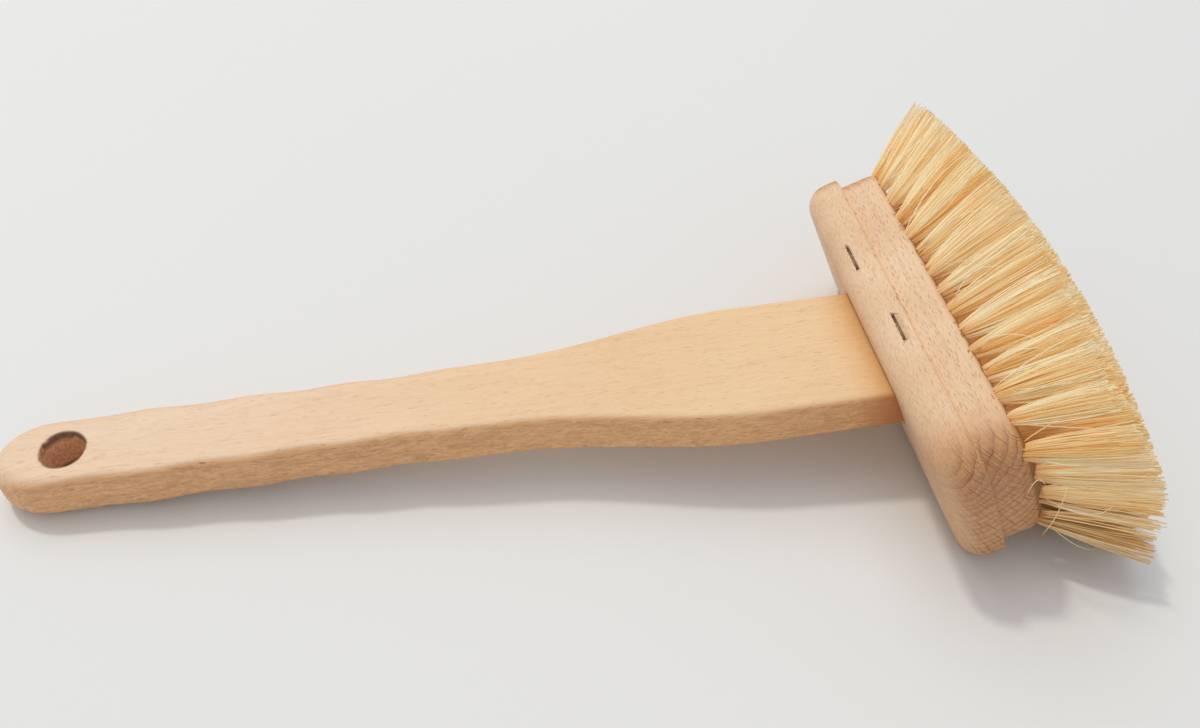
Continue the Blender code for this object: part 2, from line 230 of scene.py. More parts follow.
def make_piece(name, points, faces, matrix, material):
    mesh = bpy.data.meshes.new(name)
    mesh.from_pydata([tuple(point) for point in points], [], faces)
    shape = bmesh.new()
    shape.from_mesh(mesh)
    bmesh.ops.recalc_face_normals(shape, faces=shape.faces)
    shape.to_mesh(mesh)
    shape.free()
    mesh.shade_smooth()
    mesh.set_sharp_from_angle(angle=SMOOTH_BELOW)
    if material is not None:
        mesh.materials.append(material)
    obj = bpy.data.objects.new(name, mesh)
    bpy.context.scene.collection.objects.link(obj)
    obj.matrix_world = matrix
    return obj


def bridge_rings(rings, close_last=True):
    """Points and faces of a skin from ring to ring, with flat ends."""
    count = len(rings[0])
    points = [point for ring in rings for point in ring]
    faces = []
    for row in range(len(rings) - 1):
        low, high = row * count, (row + 1) * count
        for i in range(count):
            j = (i + 1) % count
            faces.append((low + i, low + j, high + j, high + i))
    faces.append(tuple(range(count))[::-1])
    if close_last:
        last = (len(rings) - 1) * count
        faces.append(tuple(range(last, last + count)))
    return points, faces


def slice_up(obj, axis, places):
    """Cuts every face of a mesh by planes across one axis, so that long faces become short."""
    shape = bmesh.new()
    shape.from_mesh(obj.data)
    normal = Vector((0, 0, 0))
    normal[axis] = 1
    for place in places:
        geometry = shape.verts[:] + shape.edges[:] + shape.faces[:]
        bmesh.ops.bisect_plane(shape, geom=geometry, plane_co=normal * place, plane_no=normal)
    shape.to_mesh(obj.data)
    shape.free()


def cut(obj, cutter):
    """Takes the cutter's space out of a mesh, for good."""
    modifier = obj.modifiers.new("cut", "BOOLEAN")
    modifier.operation = "DIFFERENCE"
    modifier.solver = "EXACT"
    modifier.object = cutter
    bpy.context.view_layer.update()
    graph = bpy.context.evaluated_depsgraph_get()
    made = bpy.data.meshes.new_from_object(obj.evaluated_get(graph))
    obj.modifiers.clear()
    obj.data = made
    bpy.data.objects.remove(cutter, do_unlink=True)


def settle(obj):
    """Notes each point's place in the piece's own frame, in millimetres, then moves the mesh there."""
    own = np.empty(len(obj.data.vertices) * 3, np.float32)
    obj.data.vertices.foreach_get("co", own)
    attribute = obj.data.attributes.new("place_mm", "FLOAT_VECTOR", "POINT")
    attribute.data.foreach_set("vector", own * 1000)
    obj.data.transform(obj.matrix_world)
    obj.matrix_world = Matrix.Identity(4)


def dress(obj, node):
    """Hands a finished piece to the frame."""
    settle(obj)
    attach(obj, "root")
    if node:
        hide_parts(node)


def smooth_step(value, start, end):
    share = min(max((value - start) / (end - start), 0.0), 1.0)
    return share * share * (3 - 2 * share)


# Frames


def rest_tilt():
    """The handle's slope when its tip and the head's back edge rest on the floor."""
    tip = Vector((HANDLE_EDGE_ROUND, 0, HANDLE_EDGE_ROUND - HANDLE_THICKNESS / 2))
    lower = HEAD_BACK_ROUND - HEAD_DEPTH / 2
    x = HEAD_BACK_ROUND * math.cos(HEAD_ANGLE) - lower * math.sin(HEAD_ANGLE)
    z = HEAD_BACK_ROUND * math.sin(HEAD_ANGLE) + lower * math.cos(HEAD_ANGLE)
    span = head_place() + Vector((x, 0, z)) - tip
    return math.asin((HEAD_BACK_ROUND - HANDLE_EDGE_ROUND) / span.length) - math.atan2(span.z, span.x)


def head_place():
    """The middle of the head's back face, in the handle's frame."""
    middle = (HEAD_THICKNESS + FACE_CROWN) / 2
    x = HANDLE_REACH + middle / math.cos(HEAD_ANGLE) - middle * math.cos(HEAD_ANGLE)
    return Vector((x, 0, -middle * math.sin(HEAD_ANGLE)))


def handle_matrix():
    """The handle's frame, set so that its tip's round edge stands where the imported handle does."""
    turn = Matrix.Rotation(-rest_tilt(), 4, "Y")
    inner = HANDLE_THICKNESS / 2 - HANDLE_EDGE_ROUND
    top = turn @ Vector((HANDLE_EDGE_ROUND, 0, inner))
    bottom = turn @ Vector((HANDLE_EDGE_ROUND, 0, -inner))
    low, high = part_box("handle")
    place = Vector((low.x + HANDLE_EDGE_ROUND - top.x, (low.y + high.y) / 2, 0))
    place.z = low.z + HANDLE_EDGE_ROUND - bottom.z
    return Matrix.Translation(place) @ turn


HANDLE = handle_matrix()
HEAD = HANDLE @ Matrix.Translation(head_place()) @ Matrix.Rotation(-HEAD_ANGLE, 4, "Y")


# Materials


class Nodes:
    """Short ways to add nodes to one material."""

    def __init__(self, name):
        self.material = bpy.data.materials.new(name)
        self.material.use_nodes = True
        self.tree = self.material.node_tree
        self.shader = self.tree.nodes["Principled BSDF"]

    def add(self, kind, inputs=(), **settings):
        node = self.tree.nodes.new(kind)
        for key, value in settings.items():
            setattr(node, key, value)
        for key, value in dict(inputs).items():
            self.feed(node.inputs[key], value)
        return node

    def feed(self, socket, value):
        if isinstance(value, bpy.types.NodeSocket):
            self.tree.links.new(value, socket)
        else:
            socket.default_value = value

    def math(self, operation, *values):
        node = self.add("ShaderNodeMath", operation=operation)
        for socket, value in zip(node.inputs, values):
            self.feed(socket, value)
        return node.outputs[0]

    def ramp(self, value, low, high, start=0.0, end=1.0):
        """A smooth change from start to end as a value goes from low to high."""
        node = self.add("ShaderNodeMapRange", interpolation_type="SMOOTHSTEP")
        for key, given in zip(("Value", "From Min", "From Max", "To Min", "To Max"),
                              (value, low, high, start, end)):
            self.feed(node.inputs[key], given)
        return node.outputs["Result"]

    def mix(self, share, first, second):
        node = self.add("ShaderNodeMix", data_type="RGBA")
        for key, value in zip((0, 6, 7), (share, first, second)):
            self.feed(node.inputs[key], value)
        return node.outputs[2]

    def tint(self, colour, share, strength, second):
        """Lays a second colour over the first, by a share that changes over the surface."""
        return self.mix(self.math("MULTIPLY", share, strength), colour, second)

    def join(self, x, y, z):
        return self.add("ShaderNodeCombineXYZ", {"X": x, "Y": y, "Z": z}).outputs[0]

    def split(self, vector):
        return self.add("ShaderNodeSeparateXYZ", {"Vector": vector}).outputs[:]

    def noise(self, vector, scale=1.0, detail=2.0, roughness=0.5):
        node = self.add("ShaderNodeTexNoise", {"Vector": vector, "Scale": scale,
                                               "Detail": detail, "Roughness": roughness})
        return node.outputs["Fac"]

    def finish(self, colour, roughness, height=None, strength=0.0, depth=0.0001):
        self.feed(self.shader.inputs["Base Color"], colour)
        self.feed(self.shader.inputs["Roughness"], roughness)
        if height is not None:
            bump = self.add("ShaderNodeBump", {"Strength": strength, "Distance": depth,
                                               "Height": height})
            self.feed(self.shader.inputs["Normal"], bump.outputs["Normal"])
        return self.material


def srgb(red, green, blue):
    """A colour as a shader takes it, from the 0 to 255 values in which it was judged."""
    def linear(value):
        value /= 255
        return value / 12.92 if value <= 0.04045 else ((value + 0.055) / 1.055) ** 2.4
    return (linear(red), linear(green), linear(blue), 1.0)


class Wood:
    """Beech as a solid: growth rings round a pith, and thin rays that run out from it. Toward points
    from the pith to the piece, and a squash below 1 draws the rings out along it."""

    def __init__(self, name, grain_axis, pith_mm, toward, squash=1.0):
        self.n = n = Nodes(name)
        self.mm = n.add("ShaderNodeAttribute", attribute_name="place_mm").outputs["Vector"]
        self.xyz = n.split(self.mm)
        self.normal = n.split(n.add("ShaderNodeTexCoord").outputs["Normal"])
        across = [axis for axis in range(3) if axis != grain_axis]
        self.along = self.xyz[grain_axis]
        first = n.math("SUBTRACT", self.xyz[across[0]], pith_mm[0])
        second = n.math("SUBTRACT", self.xyz[across[1]], pith_mm[1])
        wave = n.noise(n.join(*[n.math("MULTIPLY", value, scale) for value, scale in
                                zip((self.along, first, second), (0.012, 0.05, 0.05))]), detail=1.0)
        wave = n.math("MULTIPLY", n.math("SUBTRACT", wave, 0.5), 5.0)
        wobble = n.math("SUBTRACT", n.noise(self.mm, scale=0.28), 0.5)
        wave = n.math("ADD", wave, n.math("MULTIPLY", wobble, 1.8))
        ahead = n.math("ADD", n.math("MULTIPLY", first, toward[0]),
                       n.math("MULTIPLY", second, toward[1]))
        aside = n.math("SUBTRACT", n.math("MULTIPLY", first, toward[1]),
                       n.math("MULTIPLY", second, toward[0]))
        ahead = n.math("MULTIPLY", n.math("ADD", ahead, wave), squash)
        squares = n.math("ADD", n.math("MULTIPLY", ahead, ahead), n.math("MULTIPLY", aside, aside))
        self.radius = n.math("SQRT", squares)
        self.turn = n.math("ARCTAN2", aside, ahead)

    def rings(self, pitch_mm):
        """The way through a ring, from 0 outside a dark line to 1 at the next, and its strength."""
        n = self.n
        jitter = n.noise(n.join(self.radius, 0.0, 0.0), scale=0.11, detail=1.0)
        place = n.math("ADD", n.math("DIVIDE", self.radius, pitch_mm),
                       n.math("MULTIPLY", jitter, 1.6))
        chance = n.add("ShaderNodeTexWhiteNoise", {"W": n.math("FLOOR", place)},
                       noise_dimensions="1D").outputs["Value"]
        return n.math("FRACT", place), n.ramp(chance, 0.0, 1.0, 0.35, 1.0)

    def rays(self, reach_mm, pitch_mm, size_mm):
        """1 inside a ray and 0 outside; pitch and size are across, along the grain and outwards."""
        n = self.n
        across = n.math("MULTIPLY", self.turn, reach_mm)
        wobble = n.noise(n.join(n.math("MULTIPLY", across, 0.2), n.math("MULTIPLY", self.along, 0.12),
                                n.math("MULTIPLY", self.radius, 0.12)), detail=1.0)
        across = n.math("ADD", across, n.math("MULTIPLY", wobble, 1.6))
        cells = n.join(n.math("DIVIDE", across, pitch_mm[0]), n.math("DIVIDE", self.along, pitch_mm[1]),
                       n.math("DIVIDE", self.radius, pitch_mm[2]))
        voronoi = n.add("ShaderNodeTexVoronoi", {"Vector": cells, "Scale": 1.0, "Randomness": 0.95})
        away = n.add("ShaderNodeVectorMath", {0: cells, 1: voronoi.outputs["Position"]},
                     operation="SUBTRACT")
        parts = []
        for value, pitch, size in zip(n.split(away.outputs[0]), pitch_mm, size_mm):
            part = n.math("MULTIPLY", value, 2 * pitch / size)
            parts.append(n.math("MULTIPLY", part, part))
        total = n.math("ADD", n.math("ADD", parts[0], parts[1]), parts[2])
        shade = n.split(voronoi.outputs["Color"])[0]
        return n.math("MULTIPLY", n.ramp(total, 1.0, 0.35), n.ramp(shade, 0.0, 1.0, 0.35, 1.0))

    def pores(self, length_mm, width_mm):
        """Fine streaks along the grain, as wide as named at PORE_REACH_MM from the pith."""
        n = self.n
        across = n.math("MULTIPLY", self.turn, PORE_REACH_MM)
        return n.noise(n.join(n.math("DIVIDE", self.along, length_mm),
                              n.math("DIVIDE", across, width_mm),
                              n.math("DIVIDE", self.radius, width_mm)), detail=3.0, roughness=0.6)


def make_head_wood():
    """The pith lies above and behind the block, so its long sides show ray ends and its ends rings."""
    wood = Wood("head_beech", grain_axis=1, pith_mm=(-16.0, 66.0), toward=(0.42, -0.91), squash=0.85)
    n = wood.n
    x, y, _ = wood.xyz
    ring, strength = wood.rings(pitch_mm=3.0)
    rays = wood.rays(reach_mm=66.0, pitch_mm=(1.0, 3.6, 10.0), size_mm=(0.26, 3.2, 11.0))
    small_rays = wood.rays(reach_mm=72.0, pitch_mm=(0.8, 2.4, 8.0), size_mm=(0.18, 1.8, 8.0))
    end_rays = wood.rays(reach_mm=60.0, pitch_mm=(1.7, 12.0, 8.0), size_mm=(0.42, 30.0, 8.0))
    pores = wood.pores(length_mm=4.0, width_mm=0.22)
    cloud = n.noise(wood.mm, scale=0.035)
    turned = n.ramp(n.math("ABSOLUTE", wood.normal[1]), 0.10, 0.60)
    near_end = n.math("MULTIPLY", n.ramp(y, -60.0, -71.0), 0.8)
    end = n.math("MULTIPLY", n.math("MAXIMUM", turned, near_end), n.ramp(x, 1.0, 8.5, 0.15, 1.0))

    # Long grain, with painted shade toward the near end
    colour = n.mix(n.ramp(cloud, 0.35, 0.68), srgb(240, 207, 172), srgb(233, 194, 156))
    late = n.math("MULTIPLY", n.ramp(ring, 0.45, 0.97), strength)
    colour = n.tint(colour, late, 0.22, srgb(210, 162, 124))
    colour = n.tint(colour, n.ramp(pores, 0.50, 0.75), 0.32, srgb(196, 146, 106))
    # Painted shade: darker and redder toward the near end
    colour = n.mix(n.ramp(y, -44.0, -72.0, 0.0, 0.45), colour, srgb(202, 146, 96))

    # End grain, with dark ring lines crossed by rays
    end_colour = n.mix(n.ramp(cloud, 0.3, 0.7), srgb(220, 166, 114), srgb(202, 144, 94))
    mottle = n.noise(wood.mm, scale=1.1, detail=3.0, roughness=0.6)
    end_colour = n.tint(end_colour, n.ramp(mottle, 0.40, 0.70), 0.4, srgb(236, 192, 150))
    end_colour = n.tint(end_colour, n.ramp(ring, 0.35, 0.95), 0.45, srgb(170, 116, 78))
    line = n.math("MULTIPLY", n.ramp(ring, 0.84, 0.98), n.ramp(ring, 1.0, 0.985))
    broken = n.ramp(n.noise(wood.mm, scale=0.35), 0.36, 0.60)
    line = n.math("MULTIPLY", n.math("MULTIPLY", line, strength), broken)
    end_colour = n.tint(end_colour, line, 0.70, srgb(112, 70, 46))
    end_colour = n.tint(end_colour, end_rays, 0.72, srgb(116, 74, 48))
    colour = n.mix(end, colour, end_colour)

    # Ray ends
    dark = n.mix(end, srgb(160, 108, 72), srgb(140, 92, 62))
    colour = n.tint(colour, small_rays, 0.40, dark)
    colour = n.tint(colour, rays, n.ramp(end, 0.0, 1.0, 0.85, 0.45), dark)

    # Painted highlight along the ridge, and painted shade on the bristle face
    ridge = n.math("ABSOLUTE", n.math("SUBTRACT", x, RIDGE_FROM_BACK * 1000))
    colour = n.tint(colour, n.ramp(ridge, 0.9, 0.2), 0.20, srgb(250, 212, 168))
    face = n.ramp(x, HEAD_THICKNESS * 1000 - 0.7, HEAD_THICKNESS * 1000 + 0.6)
    colour = n.tint(colour, face, 0.85, srgb(150, 106, 60))

    marks = n.math("ADD", rays, n.math("MULTIPLY", n.math("MULTIPLY", line, end), 0.5))
    height = n.math("SUBTRACT", n.math("MULTIPLY", pores, 0.35), marks)
    rough = n.ramp(pores, 0.3, 0.7, 0.50, 0.66)
    return n.finish(colour, rough, height, strength=0.35, depth=0.00012)


def make_handle_wood():
    """The pith lies far off to one side, so the broad faces show long grain and the edges ray ends."""
    wood = Wood("handle_beech", grain_axis=0, pith_mm=(-170.0, -26.0), toward=(0.985, 0.17))
    n = wood.n
    x, y, z = wood.xyz
    ring, strength = wood.rings(pitch_mm=5.2)
    rays = wood.rays(reach_mm=190.0, pitch_mm=(1.3, 4.2, 22.0), size_mm=(0.36, 3.4, 10.0))
    dashes = wood.rays(reach_mm=190.0, pitch_mm=(1.2, 5.0, 1.2), size_mm=(0.34, 4.6, 0.34))
    pores = wood.pores(length_mm=7.0, width_mm=0.34)
    fine_pores = wood.pores(length_mm=3.2, width_mm=0.16)
    streaks = wood.pores(length_mm=26.0, width_mm=1.1)
    cloud = n.noise(n.join(n.math("MULTIPLY", x, 0.014), n.math("MULTIPLY", y, 0.05),
                           n.math("MULTIPLY", z, 0.05)))
    side = n.ramp(n.math("ABSOLUTE", wood.normal[1]), 0.30, 0.85)

    # Broad faces
    colour = n.mix(n.ramp(x, 60.0, 250.0), srgb(240, 211, 184), srgb(243, 208, 164))
    colour = n.tint(colour, n.ramp(cloud, 0.38, 0.66), 0.30, srgb(232, 190, 150))
    late = n.math("MULTIPLY", n.ramp(ring, 0.3, 0.97), strength)
    colour = n.tint(colour, late, 0.10, srgb(216, 166, 122))
    colour = n.tint(colour, n.ramp(streaks, 0.48, 0.72), 0.24, srgb(222, 174, 130))
    colour = n.tint(colour, n.ramp(pores, 0.52, 0.78), 0.40, srgb(202, 148, 104))
    colour = n.tint(colour, n.ramp(fine_pores, 0.52, 0.74), 0.26, srgb(200, 148, 108))
    colour = n.tint(colour, dashes, 0.50, srgb(188, 132, 90))

    # Edges: edge grain, with painted shade that makes them darker and more orange than the broad faces
    edge_grain_and_shade = n.mix(n.ramp(pores, 0.32, 0.68), srgb(244, 190, 132), srgb(216, 156, 100))
    edge_grain_and_shade = n.tint(edge_grain_and_shade, n.ramp(streaks, 0.45, 0.70), 0.4, srgb(190, 132, 86))
    colour = n.tint(colour, side, 0.85, edge_grain_and_shade)
    colour = n.tint(colour, rays, n.ramp(side, 0.0, 1.0, 0.12, 0.75), srgb(148, 94, 58))

    # Painted shade on the handle beside the head
    joint_shade = n.ramp(x, HANDLE_REACH * 1000 - 22.0, HANDLE_REACH * 1000)
    shade = n.mix(side, srgb(216, 162, 90), srgb(200, 128, 76))
    colour = n.tint(colour, joint_shade, n.ramp(side, 0.0, 1.0, 0.7, 0.95), shade)

    # The hanging hole's rough wall and its burnt rim
    from_hole = n.math("SUBTRACT", x, HOLE_FROM_TIP * 1000)
    squares = n.math("ADD", n.math("MULTIPLY", from_hole, from_hole), n.math("MULTIPLY", y, y))
    away = n.math("SQRT", squares)
    hole = HOLE_DIAMETER * 500
    wall = n.ramp(away, hole + 0.5, hole + 0.1)
    grit = n.noise(wood.mm, scale=0.9, detail=3.0)
    wall_colour = n.mix(n.ramp(grit, 0.35, 0.68), srgb(252, 208, 168), srgb(226, 166, 124))
    colour = n.tint(colour, wall, 0.9, wall_colour)
    rim = n.math("MULTIPLY", n.ramp(away, hole + 1.2, hole + 0.3),
                 n.ramp(n.math("ABSOLUTE", z), 4.6, 7.4))
    patch = n.noise(wood.mm, scale=0.16)
    burnt = n.math("MULTIPLY", rim, n.ramp(patch, 0.34, 0.52))
    colour = n.tint(colour, burnt, 0.8, srgb(92, 68, 54))

    height = n.math("SUBTRACT", n.math("MULTIPLY", pores, 0.5), rays)
    rough = n.ramp(pores, 0.3, 0.7, 0.46, 0.60)
    return n.finish(colour, rough, height, strength=0.25, depth=0.0001)


def make_fibre_material():
    """Straw, with painted shade that makes it golden at the roots and deep inside the brush."""
    n = Nodes("straw_fibre")
    tone = n.add("ShaderNodeAttribute", attribute_name="tone").outputs["Fac"]
    along = n.add("ShaderNodeAttribute", attribute_name="along").outputs["Fac"]
    own_tone = n.math("FRACT", n.math("MULTIPLY", tone, 1 / INNER_TONE))
    colour = n.mix(n.ramp(own_tone, 0.0, 1.0), srgb(255, 245, 210), srgb(242, 190, 108))
    # Painted shade at the roots of every tuft
    colour = n.mix(n.ramp(along, 0.30, 0.02, 0.0, 0.7), colour, srgb(238, 174, 92))
    # Painted shade on the inner tufts, deep inside the brush, fading toward the tips
    inside = n.ramp(tone, INNER_TONE, INNER_TONE + 0.02)
    colour = n.tint(colour, inside, n.ramp(along, 0.92, 0.45, 0.0, 0.85), srgb(244, 194, 126))
    colour = n.tint(colour, inside, n.ramp(along, 0.65, 0.15), srgb(208, 148, 80))
    n.shader.inputs["Specular IOR Level"].default_value = 0.45
    return n.finish(colour, n.ramp(tone, 0.0, 1.0, 0.38, 0.52))


def make_splinter_material():
    n = Nodes("torn_wood")
    place = n.add("ShaderNodeTexCoord").outputs["Object"]
    speck = n.noise(place, scale=900.0)
    colour = n.mix(speck, srgb(236, 188, 134), srgb(204, 138, 84))
    return n.finish(colour, n.ramp(speck, 0.3, 0.7, 0.55, 0.7))


def make_staple_material():
    """Dull wire whose brassy coat has kept its colour in the middle."""
    n = Nodes("dull_staple_wire")
    mm = n.add("ShaderNodeAttribute", attribute_name="place_mm").outputs["Vector"]
    x, y, z = n.split(mm)
    scratch = n.noise(n.join(n.math("MULTIPLY", x, 6.0), n.math("MULTIPLY", y, 0.8), z), detail=3.0)
    middle = n.ramp(n.math("ABSOLUTE", y), 5.0, 1.5)
    gold = n.math("MULTIPLY", middle, n.ramp(scratch, 0.35, 0.6))
    colour = n.mix(gold, srgb(78, 58, 40), srgb(166, 128, 78))
    n.shader.inputs["Metallic"].default_value = 0.2
    rough = n.ramp(scratch, 0.3, 0.7, 0.35, 0.6)
    return n.finish(colour, rough, scratch, strength=0.3, depth=0.00004)


# Handle


def handle_half_width(x):
    width = GRIP_WIDTH
    width += (WAIST_WIDTH - GRIP_WIDTH) * smooth_step(x, WAIST_START, FLARE_START)
    width += (SHOULDER_WIDTH - WAIST_WIDTH) * smooth_step(x, FLARE_START, FLARE_END)
    wave = math.cos(2 * math.pi * (x - FIRST_CREST) / GROOVE_PITCH)
    fade = 1 - smooth_step(x, WAIST_START, FLARE_START)
    return (width + GROOVE_DEPTH * wave * fade) / 2


def handle_outline(tip_steps=28, side_steps=130):
    """(x, y, outward normal) round the handle's edge, from the tenon round the tip and back."""
    side = []
    for i in range(tip_steps):
        angle = math.pi / 2 * i / tip_steps
        x = TIP_ROUND_LENGTH * (1 - math.cos(angle))
        side.append((x, handle_half_width(TIP_ROUND_LENGTH) * math.sin(angle)))
    for i in range(side_steps + 1):
        x = TIP_ROUND_LENGTH + (FLARE_END - TIP_ROUND_LENGTH) * i / side_steps
        side.append((x, handle_half_width(x)))
    side.append((HANDLE_REACH + TENON_LENGTH, SHOULDER_WIDTH / 2))
    outline = [(x, y) for x, y in reversed(side)] + [(x, -y) for x, y in side[1:]]
    found = []
    for i, (x, y) in enumerate(outline):
        if i in (0, len(outline) - 1):
            normal = Vector((0, math.copysign(1, y)))
        else:
            along = (Vector(outline[i + 1]) - Vector(outline[i - 1])).normalized()
            normal = Vector((along.y, -along.x))
        found.append((x, y, normal))
    return found


def edge_round(x):
    """The rounding of the handle's long edges, which is larger round its tip."""
    more = 1 - smooth_step(x, TIP_EDGE_START, TIP_EDGE_END)
    return HANDLE_EDGE_ROUND + (TIP_EDGE_ROUND - HANDLE_EDGE_ROUND) * more


def make_handle(material, round_steps=9):
    outline = handle_outline()
    turns = [math.pi / 2 * i / round_steps for i in range(round_steps + 1)]
    rings = []
    for side, angles in ((-1, turns), (1, turns[::-1])):
        for angle in angles:
            ring = []
            for x, y, normal in outline:
                radius = edge_round(x)
                inset = radius * (1 - math.sin(angle))
                level = HANDLE_THICKNESS / 2 - radius * (1 - math.cos(angle))
                ring.append((x - normal.x * inset, y - normal.y * inset, side * level))
            rings.append(ring)
    handle = make_piece("beech_handle", *bridge_rings(rings), HANDLE, material)
    slices = int((HANDLE_REACH + TENON_LENGTH) / HANDLE_SLICE)
    slice_up(handle, 0, [HANDLE_SLICE * i for i in range(1, slices)])
    aside = range(-HANDLE_SLICES_ASIDE, HANDLE_SLICES_ASIDE + 1)
    slice_up(handle, 1, [HANDLE_SLICE * i for i in aside])
    cut(handle, make_round_cutter(HOLE_FROM_TIP, HOLE_DIAMETER / 2, HOLE_RIM_ROUND))
    return handle


def make_round_cutter(x0, radius, rim, steps=96, rim_steps=6):
    """A hole with rounded and slightly worn rims."""
    half = HANDLE_THICKNESS / 2
    levels = [(radius + rim, half + rim)]
    for i in range(rim_steps + 1):
        angle = math.pi / 2 * i / rim_steps
        levels.append((radius + rim * (1 - math.sin(angle)), half - rim * (1 - math.cos(angle))))
    levels += [(reach, -z) for reach, z in reversed(levels)]
    rings = []
    for reach, z in levels:
        ring = []
        for i in range(steps):
            angle = 2 * math.pi * i / steps
            worn = reach + rim * 0.25 * math.sin(3 * angle + 1.0) * math.sin(5 * angle)
            ring.append((x0 + worn * math.cos(angle), worn * math.sin(angle), z))
        rings.append(ring)
    return make_piece("hole_cutter", *bridge_rings(rings), HANDLE, None)


# Head


def face_at(z):
    """x of the crowned bristle face."""
    share = z / (HEAD_DEPTH / 2 - FRONT_INSET)
    return HEAD_THICKNESS + FACE_CROWN * (1 - share * share)


def end_fall(y):
    """How far the bristle face is rounded off near the head's two ends."""
    beyond = abs(y) - (HEAD_LENGTH / 2 - FRONT_INSET - FACE_END_ROUND)
    beyond = min(max(beyond, 0.0), FACE_END_ROUND)
    return FACE_END_ROUND - math.sqrt(FACE_END_ROUND**2 - beyond**2)


def head_outline(inset, corner, corner_steps=12, end_steps=20):
    """(y, z) round the head, set in from its widest outline."""
    radius = corner - inset
    y0 = HEAD_LENGTH / 2 - corner
    z0 = HEAD_DEPTH / 2 - corner
    half = []
    for i in range(corner_steps + 1):
        angle = math.pi / 2 * i / corner_steps
        half.append((y0 + radius * math.sin(angle), -z0 - radius * math.cos(angle)))
    for i in range(1, end_steps):
        half.append((y0 + radius, z0 * (2 * i / end_steps - 1)))
    for i in range(corner_steps + 1):
        angle = math.pi / 2 * i / corner_steps
        half.append((y0 + radius * math.cos(angle), z0 + radius * math.sin(angle)))
    return half + [(-y, z) for y, z in reversed(half)]


def head_profile(round_steps=10, small_steps=4):
    """(inset, x) from the back face's edge to the foot of the front part, over ridge and cove."""
    profile = []
    for i in range(round_steps + 1):
        angle = math.pi / 2 * i / round_steps
        profile.append((HEAD_BACK_ROUND * (1 - math.sin(angle)),
                        HEAD_BACK_ROUND * (1 - math.cos(angle))))
    for i in range(small_steps + 1):
        angle = math.pi / 2 * i / small_steps
        profile.append((RIDGE_EDGE_ROUND * (1 - math.cos(angle)),
                        RIDGE_FROM_BACK - RIDGE_EDGE_ROUND * (1 - math.sin(angle))))
    for i in range(small_steps + 1):
        angle = math.pi / 2 * i / small_steps
        profile.append((FRONT_INSET - RIDGE_COVE * (1 - math.sin(angle)),
                        RIDGE_FROM_BACK + RIDGE_COVE * (1 - math.cos(angle))))
    return profile


def make_head(material, rim_steps=8):
    rings = []
    for inset, x in head_profile():
        corner = HEAD_CORNER_ROUND if x < RIDGE_FROM_BACK else FRONT_CORNER_ROUND
        rings.append([(x, y, z) for y, z in head_outline(inset, corner)])
    for i in range(rim_steps + 1):
        angle = math.pi / 2 * i / rim_steps
        inset = FRONT_INSET + FACE_RIM_ROUND * (1 - math.cos(angle))
        drop = FACE_RIM_ROUND * (1 - math.sin(angle))
        outline = head_outline(inset, FRONT_CORNER_ROUND)
        rings.append([(face_at(z) - drop, y, z) for y, z in outline])
    points, faces = bridge_rings(rings, close_last=False)
    count = len(rings[0])
    first = (len(rings) - 1) * count
    last = first + count - 1
    for i in range(count // 2 - 1):
        faces.append((first + i, first + i + 1, last - i - 1, last - i))
    head = make_piece("beech_head", points, faces, HEAD, material)
    slice_up(head, 1, [HEAD_SLICE * i for i in range(-HEAD_SLICES_ALONG, HEAD_SLICES_ALONG + 1)])
    slice_up(head, 1, [side * place / 1000 for side in (-1, 1) for place in HEAD_END_SLICES_MM])
    slice_up(head, 2, [HEAD_SLICE * i for i in range(-HEAD_SLICES_ACROSS, HEAD_SLICES_ACROSS + 1)])
    foot, top = RIDGE_FROM_BACK + RIDGE_COVE, HEAD_THICKNESS - FACE_RIM_ROUND
    for vertex in head.data.vertices:
        share = (vertex.co.x - foot) / (top - foot)
        vertex.co.x -= end_fall(vertex.co.y) * min(max(share, 0.0), 1.0)
    cut(head, make_mortise_cutter())
    cut(head, make_tuft_hole_cutter())
    for x, y in STAPLE_PLACES.values():
        cut(head, make_slot_cutter(x, y))
    return head


def make_mortise_cutter(corner_steps=8):
    """The tenon's section with a hair's gap round it, in the handle's frame."""
    half_width = SHOULDER_WIDTH / 2 + JOINT_GAP
    half_height = HANDLE_THICKNESS / 2 + JOINT_GAP
    corner = HANDLE_EDGE_ROUND + JOINT_GAP
    end = HANDLE_REACH + TENON_LENGTH + JOINT_GAP
    start = HANDLE_REACH - HANDLE_THICKNESS
    section = []
    for quarter, (side, up) in enumerate(((1, 1), (-1, 1), (-1, -1), (1, -1))):
        for i in range(corner_steps + 1):
            angle = math.pi / 2 * (quarter + i / corner_steps)
            section.append((side * (half_width - corner) + corner * math.cos(angle),
                            up * (half_height - corner) + corner * math.sin(angle)))
    rings = [[(x, y, z) for y, z in section] for x in (start, end)]
    return make_piece("mortise_cutter", *bridge_rings(rings), HANDLE, None)


def make_slot_cutter(x, y, steps=14):
    """The ragged slit that a staple's crown has pressed into the wood."""
    half = STAPLE_WIRE / 2 + SLOT_GAP
    reach = STAPLE_WIDTH / 2 + SLOT_GAP
    outline = []
    for side in (1, -1):
        for i in range(steps + 1):
            along = reach * (1 - 2 * i / steps) * side
            ragged = half * (1 + 0.28 * math.sin(9 * i + 40 * y + side))
            outline.append((x + ragged * side, y + along))
    top = HEAD_DEPTH / 2
    rings = [[(px, py, z) for px, py in outline] for z in (top - SLOT_DEPTH, top + SLOT_DEPTH)]
    return make_piece("slot_cutter", *bridge_rings(rings), HEAD, None)


# Tufts


def is_end(column):
    return column in (0, COLUMN_COUNT - 1)


def rows_in(column):
    return END_ROW_COUNT if is_end(column) else ROW_COUNT


def is_outer(column, root):
    """True for the tufts round the outside of the brush."""
    return is_end(column) or abs(root.z) > ROW_PITCH * (ROW_COUNT - 2) / 2


